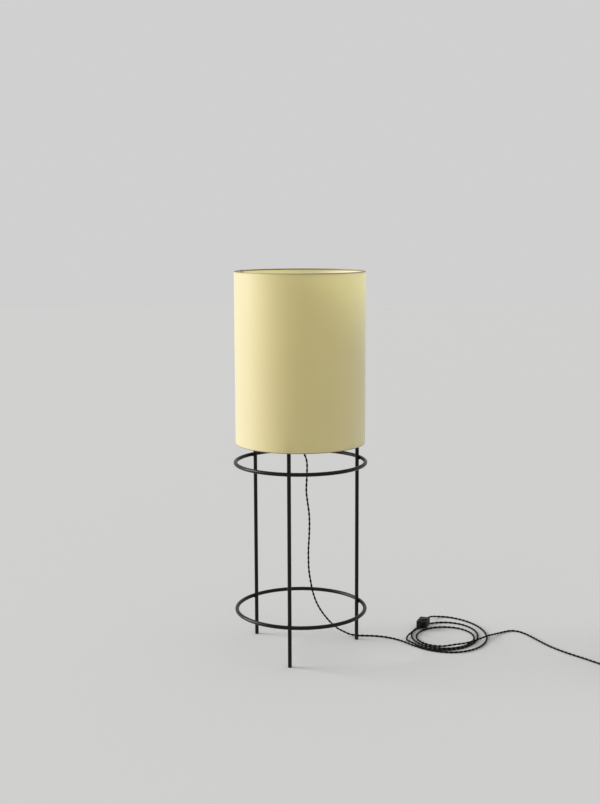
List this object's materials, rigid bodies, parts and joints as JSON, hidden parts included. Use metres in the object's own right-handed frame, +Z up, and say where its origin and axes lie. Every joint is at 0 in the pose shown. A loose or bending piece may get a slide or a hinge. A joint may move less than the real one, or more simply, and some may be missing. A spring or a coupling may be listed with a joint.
{
  "type": "column floor lamp",
  "caption": "Floor lamp with a tall drum shade on a frame of straight rod legs and rod rings, with an inline dial dimmer on a twisted flex.",
  "frame": {"origin": "on the floor, in the middle of the ring of legs", "axes": "+Z up along the lamp's axis; one leg stands on -Y, and the flex runs out towards +X"},
  "size_m": [1.0786, 0.4871, 1.0125],
  "materials": {
    "black_steel": "satin black powder coat",
    "black_screw": "blackened button heads",
    "glide": "moulded polyethylene",
    "brass": "plain brass",
    "zinc_steel": "zinc plated",
    "black_plastic": "fine moulded grain",
    "ceramic": "glazed porcelain",
    "nickel": "nickel plated",
    "solder": "soldered tip",
    "black_glass": "black vitrite",
    "frosted_glass": "opal glass",
    "clear_glass": "clear glass",
    "filament": "drawn wire",
    "shade_laminate": "straw yellow shade laminate, slightly translucent",
    "rolled_edge": "edge of the laminate, rolled round the wire",
    "white_wire": "off-white epoxy coat",
    "board": "glass fibre board, green",
    "terminal_plastic": "moulded polyamide",
    "regulator": "moulded case",
    "dial": "fine moulded grain",
    "bush": "soft moulded bush",
    "flex": "two twisted textile-braided cores"
  },
  "bodies": {
    "frame": {"leg_front": "black_steel", "leg_right": "black_steel", "leg_left": "black_steel", "lower_ring": "black_steel", "upper_ring": "black_steel", "weld_beads": "black_steel", "holder_bracket": "black_steel", "bracket_screws": "black_screw", "foot_glides": "glide", "threaded_nipple": "brass", "holder_terminals": "brass", "centre_contact": "brass", "shell_rivet": "brass", "nipple_washer": "zinc_steel", "nipple_nut": "zinc_steel", "grip_screw": "zinc_steel", "dimmer_screws": "zinc_steel", "cord_grip": "black_plastic", "holder_cap": "black_plastic", "holder_body": "black_plastic", "dimmer_lower_shell": "black_plastic", "dimmer_upper_shell": "black_plastic", "plug_body": "black_plastic", "holder_core": "ceramic", "screw_shell": "nickel", "bulb_cap": "nickel", "plug_pins": "nickel", "bulb_tip": "solder", "bulb_insulator": "black_glass", "bulb_glass": "frosted_glass", "bulb_stem": "clear_glass", "bulb_filament": "filament", "dimmer_board": "board", "dimmer_terminals": "terminal_plastic", "dimmer_regulator": "regulator", "dimmer_bush_in": "bush", "dimmer_bush_out": "bush", "inner_flex": "flex", "cord_drop": "flex", "cord_first_turn": "flex", "cord_coil": "flex", "cord_tail": "flex"},
    "shade": {"shade_sheet": "shade_laminate", "shade_seam": "shade_laminate", "top_wire": "white_wire", "top_edge": "rolled_edge", "shade_spider": "white_wire", "bottom_wire": "white_wire", "bottom_edge": "rolled_edge"},
    "dial": {"dimmer_dial": "dial"}
  },
  "joints": [
    {"name": "shade_lift", "type": "slide", "parent": "frame", "child": "shade", "axis": [0, 0, 1], "range_m": [0, 0.18]},
    {"name": "dial_turn", "type": "hinge", "parent": "frame", "child": "dial", "pos_m": [0.313, 0.208, 0.0257], "axis": [0, 0, -1], "range_deg": [0, 300]}
  ]
}
